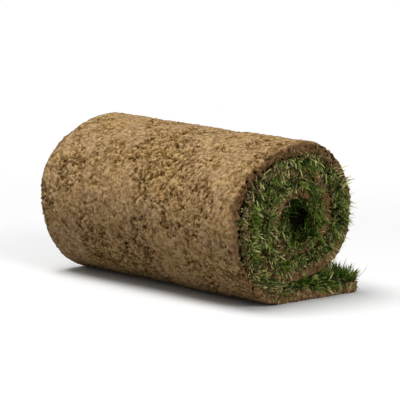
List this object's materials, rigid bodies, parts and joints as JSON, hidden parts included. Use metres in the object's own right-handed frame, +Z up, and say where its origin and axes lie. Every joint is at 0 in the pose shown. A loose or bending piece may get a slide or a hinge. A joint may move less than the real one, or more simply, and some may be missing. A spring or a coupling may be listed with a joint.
{
  "type": "roll of turf",
  "caption": "Rolled-up strip of lawn turf lying on its side: bare rooted soil outside, grass inside, spiral turns on both ends and a free end flat on the ground.",
  "frame": {"origin": "on the ground, in the middle of the footprint of the roll and its free end", "axes": "+X along the roll, +Y towards the strip's free end, +Z up"},
  "size_m": [0.37, 0.268, 0.22],
  "materials": {
    "soil": "matte",
    "grass": "matte"
  },
  "bodies": {
    "root": {"turf_roll": "soil"}
  },
  "joints": []
}
